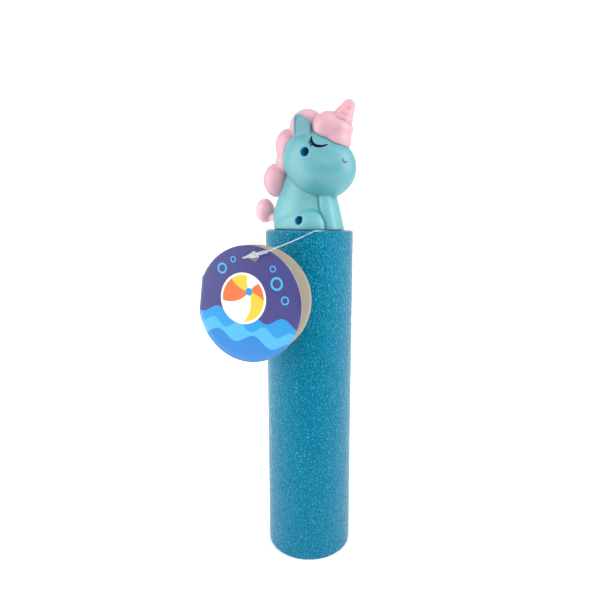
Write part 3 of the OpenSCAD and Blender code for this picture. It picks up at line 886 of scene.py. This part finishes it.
# %% Turn and pebble the foam
FOAM_R, FOAM_BORE, FOAM_EDGE, FOAM_CROWN, CROWN_POWER = 25.0, 13.55, 0.8, 0.55, 10
PEBBLE_DEPTH, PEBBLE_SIZE = 0.42 * MM, 2.2 * MM
AROUND, STEP = 232, 0.7


def foam_profile():
    """Radius and height from the bore at the foot, out, up and back to the bore at the top."""
    corner = [(FOAM_R - FOAM_EDGE * (1 - math.sin(a)), FOAM_EDGE * (1 - math.cos(a)))
              for a in np.linspace(0, math.pi / 2, 5)]
    foot = [(r, 0) for r in np.arange(FOAM_BORE, FOAM_R - FOAM_EDGE, STEP)]
    lower = foot + corner
    count = round((FOAM_TOP - 2 * FOAM_EDGE) / STEP)
    wall = [(FOAM_R, z) for z in np.linspace(FOAM_EDGE, FOAM_TOP - FOAM_EDGE, count)[1:-1]]
    top = [(r, FOAM_TOP - z + FOAM_CROWN * (1 - (r / FOAM_R) ** CROWN_POWER)) for r, z in reversed(lower)]
    return lower + wall + top


def turned_rings(profile, around):
    """The points of a profile turned about the upright axis, in metres."""
    angles = np.arange(around) * 2 * math.pi / around
    return [(r * math.cos(a) * MM, r * math.sin(a) * MM, z * MM) for r, z in profile for a in angles]


profile = foam_profile()
blank = piece_of("foam_blank", turned_rings(profile, AROUND), grid_faces(len(profile), AROUND, True))
tree, wires = new_tree("foam_pebbles", {"Blank": "Geometry", "Depth": "Float", "Pebble": "Float"})
place = wires["Depth"].node("GeometryNodeInputPosition")
pebble = place.node("ShaderNodeTexNoise", {},
                    {"Vector": place.vector("DIVIDE", wires["Pebble"]), "Scale": 1.0, "Detail": 1.5})
push = place.node("GeometryNodeInputNormal").vector("MULTIPLY", (pebble - 0.5) * wires["Depth"])
end_tree(place.node("GeometryNodeSetPosition", {}, {0: wires["Blank"], "Offset": push}), foam_blue)
foam = run_tree("foam_tube", tree, {"Depth": PEBBLE_DEPTH, "Pebble": PEBBLE_SIZE}, blank.data.copy())
bpy.data.objects.remove(blank)
print("foam faces:", len(foam.data.polygons))

# %% [markdown]
# ## The card
#
# The swing tag is one round card, folded at its left. Its outside is printed and laminated, and its
# inside is bare cream board, whose colour here is painted darker as shade. Both leaves and the bend
# between them are one sheet with real thickness, so the card turns at its fold without a gap.

# %% The card's sizes and frame
TAG_D, CARD_T, LEAF_GAP, HALF_FOLD = 60.0, 0.5, 0.6, 10.0
TAG_OPEN, TAG_LEAN = math.radians(23), math.radians(7)
FOLD_OUT = math.sqrt((TAG_D / 2) ** 2 - HALF_FOLD**2)
CREASE_R = CARD_T + LEAF_GAP / 2
HOLE = np.array((FOLD_OUT + 0.8, 24.8))
HOLE_R = 2.5
TAG_AT = (-28.8, -25.5, 155.7)
fold_frame = (Matrix.Scale(MM, 4) @ tag_frame @ Matrix.Translation(TAG_AT)
              @ Matrix.Rotation(TAG_LEAN, 4, "Y") @ Matrix.Translation((-FOLD_OUT, -CREASE_R, 0))
              @ Matrix.Rotation(math.pi / 2, 4, "X"))
front_turn = Matrix.Rotation(-TAG_OPEN, 4, "Y") @ Matrix.Diagonal((1, 1, -1, 1))
print("fold at", [round(x, 4) for x in fold_frame.translation])

# %% [markdown]
# ## The card's two faces
#
# The print is drawn by the shader on a flat map of the card: waves, a beach ball and rings of foam, each
# a soft-edged mask that lays one colour over the last.

# %% Finishes of the card
NAVY, NAVY_DEEP, RING_INSIDE = (58, 58, 122), (50, 48, 118), (54, 54, 120)
SEA, PALE_SEA, DEEP_SEA = (0, 140, 208), (64, 168, 222), (0, 118, 196)
CREAM, ORANGE, YELLOW = (246, 240, 224), (228, 104, 52), (242, 188, 48)
WAVES = [(-6, 2.2, 19, 3, SEA), (-12, 2.0, 15, 8, PALE_SEA), (-18, 2.4, 21, 0, DEEP_SEA)]
BALL_AT, BALL_R, BALL_RIM, HUB_AT, HUB_R = (-3.0, 2.5), 12, 1.2, (0.0, 6.5), 2
PANELS, PANEL_TWIST, WAVE_EDGE, DISC_EDGE = 6, 0.006, 6, 8
RINGS = [((15, 13), 3.4), ((20.5, 5.5), 2.2), ((12, 20), 1.7), ((-17, 16), 2.8), ((-11, 21.5), 1.6)]
RING_BORE = 0.68


def shaded_card_board(point):
    """Bare board with a fine fibre, its cream painted darker as shade."""
    fibre = noise(point.vector("MULTIPLY", (1, 1, 3)), 0.8, 4)
    # The board's cream is painted darker, as painted shade, on the inside and the cut edges alike.
    return {"Base Color": blend_colour(fibre, colour(164, 156, 140), colour(174, 166, 151)),
            "Roughness": 0.75 + (fibre - 0.5) * 0.2, "Normal": bump(fibre, 0.03, 0.5)}


def disc(x, y, at, radius):
    """1 inside a circle, with a soft edge."""
    return ((radius - distance(x, y, at)) * DISC_EDGE + 0.5).clamped()


def tag_art(point):
    """The print, from a point of the flat map."""
    u, v, _ = point.axes()
    x, y = (u - 0.5) * TAG_D, (v - 0.5) * TAG_D
    art = blend_colour(noise(point, 60, 2), colour(*NAVY), colour(*NAVY_DEEP))
    for level, height, wide, phase, tone in WAVES:
        crest = ((x + phase) * (2 * math.pi / wide)).math("SINE") * height + level
        band = ((crest - y) * WAVE_EDGE + 0.5).clamped()
        art = blend_colour(band, art, colour(*tone))
    art = blend_colour(disc(x, y, BALL_AT, BALL_R + BALL_RIM), art, colour(*CREAM))
    turn = (y - HUB_AT[1]).math("ARCTAN2", x - HUB_AT[0]) / (2 * math.pi)
    turn = turn + distance(x, y, HUB_AT) * PANEL_TWIST
    sector = (turn * PANELS).math("FLOORED_MODULO", 3)
    panel = blend_colour(sector > 1, colour(*ORANGE), colour(*CREAM))
    panel = blend_colour(sector > 2, panel, colour(*YELLOW))
    art = blend_colour(disc(x, y, BALL_AT, BALL_R), art, panel)
    art = blend_colour(disc(x, y, HUB_AT, HUB_R), art, colour(*SEA))
    for at, size in RINGS:
        art = blend_colour(disc(x, y, at, size), art, colour(*PALE_SEA))
        art = blend_colour(disc(x, y, at, size * RING_BORE), art, colour(*RING_INSIDE))
    return {"Base Color": art, "Roughness": 0.3 + noise(point, 20) * 0.08, "Coat Weight": 0.6,
            "Coat Roughness": 0.12}


board = finish("shaded_card_board", shaded_card_board)
print_face = finish("tag_art", tag_art, "UV")
print("card finishes:", board.name, print_face.name)

# %% [markdown]
# ## The card's net
#
# Each leaf is a net of quads that runs from the hole to the rim. Some of its spokes end on the straight
# fold, and there both leaves have the same points, so that the bend can join them.

# %% Lay out one leaf
FOLD_STEPS, SPOKES, CLEAR_OF_FOLD, RING_GROWTH = 25, 160, 0.004, 1.3


def rim_at(angle):
    """How far the leaf's rim is from the hole's centre, along an angle."""
    way = np.array((math.cos(angle), math.sin(angle)))
    to_centre = HOLE - (FOLD_OUT, 0)
    along = to_centre @ way
    far = -along + math.sqrt(along**2 - to_centre @ to_centre + (TAG_D / 2) ** 2)
    return min(far, -HOLE[0] / way[0]) if way[0] < 0 else far


def leaf_net(fold_points, around, rings):
    """Flat points of one leaf in rings from its hole to its rim, and which spokes meet the fold."""
    meets = np.array([math.atan2(y - HOLE[1], -HOLE[0]) for y in fold_points])
    others = np.arange(around) * 2 * math.pi / around - math.pi
    others = others[(others < meets.min() - CLEAR_OF_FOLD) | (others > meets.max() + CLEAR_OF_FOLD)]
    angles = np.sort(np.hstack([others, meets]))
    growth = np.linspace(0, 1, rings) ** RING_GROWTH
    ways = [(np.array((math.cos(a), math.sin(a))), rim_at(a) - HOLE_R) for a in angles]
    net = [[HOLE + (HOLE_R + width * t) * way for way, width in ways] for t in growth]
    return np.array(net).reshape(-1, 2), np.flatnonzero(np.isin(angles, meets)), len(angles)


print("rim above the hole:", round(rim_at(math.pi / 2), 2), "mm")

# %% [markdown]
# ## Folding the card
#
# Both leaves, the bend and every edge go into one mesh. Its first faces are the printed outside, and the
# rest, the inside and the cut edges, are bare board.

# %% Fold the card
def folded_card(name, rings=26, bends=14):
    """The whole card in one mesh: two leaves, the bend between them and every edge."""
    flat, meet, around = leaf_net(np.linspace(-HALF_FOLD, HALF_FOLD, FOLD_STEPS), SPOKES, rings)
    count, rim = len(flat), (rings - 1) * around
    points, where = [], []
    for depth in (LEAF_GAP / 2 + CARD_T, LEAF_GAP / 2):
        for turn in (Matrix.Identity(4), front_turn):
            points += [turn @ Vector((x, y, -depth)) for x, y in flat]
            where += list(flat - (FOLD_OUT, 0))
        for k in range(1, bends):
            angle = k / bends * (math.pi - TAG_OPEN)
            past = min(k, bends - k) / bends * math.pi * CREASE_R
            out, back = -depth * math.sin(angle), -depth * math.cos(angle)
            points += [Vector((out, flat[rim + i][1], back)) for i in meet]
            where += [(-FOLD_OUT - past, flat[rim + i][1]) for i in meet]
    sheet = 2 * count + (bends - 1) * len(meet)
    columns = [rim + meet, *[2 * count + k * len(meet) + np.arange(len(meet)) for k in range(bends - 1)],
               count + rim + meet]
    quads = [[i + shift for i in face] for shift in (0, count) for face in grid_faces(rings, around)]
    quads += [(a[i], a[i + 1], b[i + 1], b[i])
              for a, b in zip(columns, columns[1:]) for i in range(len(meet) - 1)]
    faces = quads + [[i + sheet for i in face] for face in quads]
    printed_faces = len(quads)
    links = []
    for shift in (0, count):
        links += [(shift + k, shift + (k + 1) % around) for k in range(around)]
        links += [(shift + rim + k, shift + rim + (k + 1) % around)
                  for k in range(around) if k not in meet[:-1]]
    links += [(a[i], b[i]) for a, b in zip(columns, columns[1:]) for i in (0, -1)]
    faces += [(a, b, b + sheet, a + sheet) for a, b in links]
    mesh = bpy.data.meshes.new(name)
    mesh.from_pydata([tuple(fold_frame @ p) for p in points], [], [tuple(int(i) for i in f) for f in faces])
    mesh.materials.append(print_face)
    mesh.materials.append(board)
    mesh.polygons.foreach_set("material_index", [0] * printed_faces + [1] * (len(faces) - printed_faces))
    layer = mesh.uv_layers.new(name="flat")
    spots = np.array(where)[[corner.vertex_index for corner in mesh.loops]] / TAG_D + 0.5
    layer.data.foreach_set("uv", spots.ravel())
    face_out(mesh)
    for face in mesh.polygons[:2 * printed_faces]:
        face.use_smooth = True
    return placed(name, mesh)


card = folded_card("folded_tag")
print("card:", len(card.data.polygons), "faces")

# %% [markdown]
# ## The lock of the loop
#
# The loop's two ends meet in a small lock: a ribbed neck, a cone with a lip, and a pin. It is turned from
# a profile.

# %% Turn the lock
LOCK_AT = (-28.6, -40.7, -11.1)
LOCK_PROFILE = [
    (0, -5.1), (0.45, -5.05), (0.6, -4.8), (0.6, -2.4), (0.8, -2.3), (0.9, -2.1), (1.5, 1.6), (1.6, 2.0),
    (1.58, 2.25), (1.3, 2.3), (0.95, 2.32), (0.8, 2.5), (0.8, 5.0), (0.95, 5.2), (0.95, 5.8), (0.78, 6.0),
    (0.74, 8.0), (0.86, 8.2), (0.86, 8.6), (0.7, 8.8), (0.6, 9.25), (0.42, 9.3), (0, 9.3)]
LOCK_TURN, LOCK_TIP, LOCK_SIDES = math.radians(-22), math.radians(75), 24
lock_frame = (top_frame @ Matrix.Translation(LOCK_AT) @ Matrix.Rotation(LOCK_TURN, 4, "Z")
              @ Matrix.Rotation(LOCK_TIP, 4, "Y"))
lock_points = [lock_frame @ Vector((r * math.cos(a), r * math.sin(a), z))
               for r, z in LOCK_PROFILE for a in np.arange(LOCK_SIDES) * 2 * math.pi / LOCK_SIDES]
lock = piece_of("loop_lock_barb", lock_points, grid_faces(len(LOCK_PROFILE), LOCK_SIDES))
nylon = mottled("clear_nylon", (238, 240, 242), (226, 230, 234), 3, 0.18, 0.6, 0.1,
                {"Transmission Weight": 0.7, "IOR": 1.5})
for piece in (loop, lock):
    wear(piece, nylon)
print("lock faces:", len(lock.data.polygons))

# %% [markdown]
# ## The pieces that stay as the model has them
#
# The tube, its caps, the plunger and the piston are plain moulded shapes, and their solids are right as
# they are. They only need finishes: aqua for the two caps, ivory for the rest and rubber for the seal.

# %% Dress the plain pieces
rubber = mottled("seal_rubber", (34, 34, 36), (46, 46, 48), 2, 0.55, 0.5, 0.2)
PLAIN = {"barrel_tube": ivory, "nozzle_cap": aqua, "guide_cap": aqua, "plunger_rod": ivory,
         "piston_head": ivory, "piston_seal": rubber}
for name, material in PLAIN.items():
    wear(nodes[name], material)
print("dressed:", *PLAIN)

# %% [markdown]
# ## What moves with what
#
# Each piece rides on the body whose solid it replaces, and the prints ride on the plunger. The loop lies
# on the barrel and hangs with the card; here the loop and the card are baked in place and tied to no body.

# %% Tie the pieces to their bodies
RIDES = [
    (foam, "barrel", "foam", ("foam_sleeve",)),
    (right_body, "plunger", "aqua_plastic", ("right_shell",)),
    (left_body, "plunger", "aqua_plastic", ("left_shell",)),
    (mane, "plunger", "pink_plastic", ("mane",)),
    (forelock, "plunger", "pink_plastic", ("forelock",)),
    (horn, "plunger", "pink_plastic", ("horn",)),
    (tail, "plunger", "pink_plastic", ("tail",)),
    (screws, "plunger", "screw_steel", ("upper_screw", "lower_screw")),
    (lock, "tag", "nylon", ("loop_lock",)),
]
for piece, body_name, slot_name, stood_for in RIDES:
    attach(piece, body_name)
    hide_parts(*stood_for)
for piece in prints:
    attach(piece, "plunger")
swing = next(j for j in frame["joints"] if j["name"] == "tag_swing")
rim_line = Vector(swing["axis"])
outward = Vector((rim_line.y, -rim_line.x, 0)).normalized()
if outward.dot(Vector(tag_frame @ Vector(TAG_AT))) < 0:
    outward = -outward
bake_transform(loop)
fold_way = (fold_frame.to_3x3() @ Vector((0, 0, 1))).normalized()
fold_spot = fold_frame.translation
fold_spot - fold_way * 0.25 * MM
fold_spot + fold_way * 0.25 * MM
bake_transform(card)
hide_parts("tag_back", "tag_front")
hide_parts("loop_top", "loop_hang")

# %% [markdown]
# ## Floor and light
#
# The studio is white all round. The floor runs up into a backdrop, and both sheets glow a little, so that
# no edge or shadow shows behind the toy.

# %% Build the studio
scene.view_settings.view_transform = "Standard"
world = bpy.data.worlds.new("studio")
world.use_nodes = True
feed(world.node_tree.nodes["Background"], {"Color": (1, 1, 1, 1), "Strength": 0.3})
scene.world = world
FLOOR_FROM, FLOOR_TO, BEND_FROM, BEND_R, WALL_TOP, SHEET_HALF = -1.2, 0.12, 0.5, 0.4, 1.6, 2.0
FLOOR = [(FLOOR_FROM, 0), (FLOOR_TO, 0)]
BEND = [(BEND_FROM + BEND_R * math.sin(a), BEND_R * (1 - math.cos(a)))
        for a in np.linspace(0, math.pi / 2, 13)]
SWEEP = [(FLOOR_TO, 0), *BEND, (BEND_FROM + BEND_R, WALL_TOP)]
floor_turn = Matrix.Rotation(AZIMUTH, 4, "Z")


def paper_sheet(name, line, glow):
    """A wide sheet of glowing white paper over a line of distances and heights."""
    points = [floor_turn @ Vector((x, y, z)) for y, z in line for x in (-SHEET_HALF, SHEET_HALF)]
    faces = [(2 * i, 2 * i + 1, 2 * i + 3, 2 * i + 2) for i in range(len(line) - 1)]
    paper = finish(name + "_paper", lambda point: {
        "Base Color": blend_colour(noise(point, 60), colour(250, 250, 250), colour(247, 247, 247)),
        "Roughness": 0.9,
        "Emission Color": (1, 1, 1, 1),
        "Emission Strength": glow})
    sheet = piece_of(name, points, faces, paper)
    print(name, len(faces), "strips")


paper_sheet("floor", FLOOR, 0.12)
paper_sheet("backdrop", SWEEP, 0.45)

# %% [markdown]
# ## The lamps
#
# Two tall soft lights at the sides brighten both edges of the foam. A weaker one above the camera opens
# the front, and one overhead lights the hair and the rim of the foam.

# %% Hang the lamps
AIM = Vector((0, 0, 0.13))


def soft_light(name, turn, height, away, size, power, roll=0):
    """A soft light panel that looks at the middle of the object, at an angle from the camera's side."""
    data = bpy.data.lights.new(name, "AREA")
    data.shape = "RECTANGLE"
    data.size, data.size_y = size
    data.energy = power
    light = placed(name, data)
    angle = AZIMUTH + math.radians(turn)
    light.location = (away * math.sin(angle), -away * math.cos(angle), height)
    aim = (AIM - light.location).to_track_quat("-Z", "Y")
    light.rotation_euler = (aim @ Quaternion((0, 0, 1), math.radians(roll))).to_euler()


soft_light("left_light", turn=-77, height=0.34, away=0.6, size=(0.53, 0.8), power=3.9, roll=-19)
soft_light("right_light", turn=74, height=0.42, away=0.6, size=(0.52, 0.8), power=4.3)
soft_light("front_light", turn=0, height=0.56, away=0.75, size=(0.9, 0.3), power=2.3)
soft_light("top_light", turn=10, height=1.0, away=0.12, size=(0.7, 0.7), power=2.9)

# %% [markdown]
# ## Closing
#
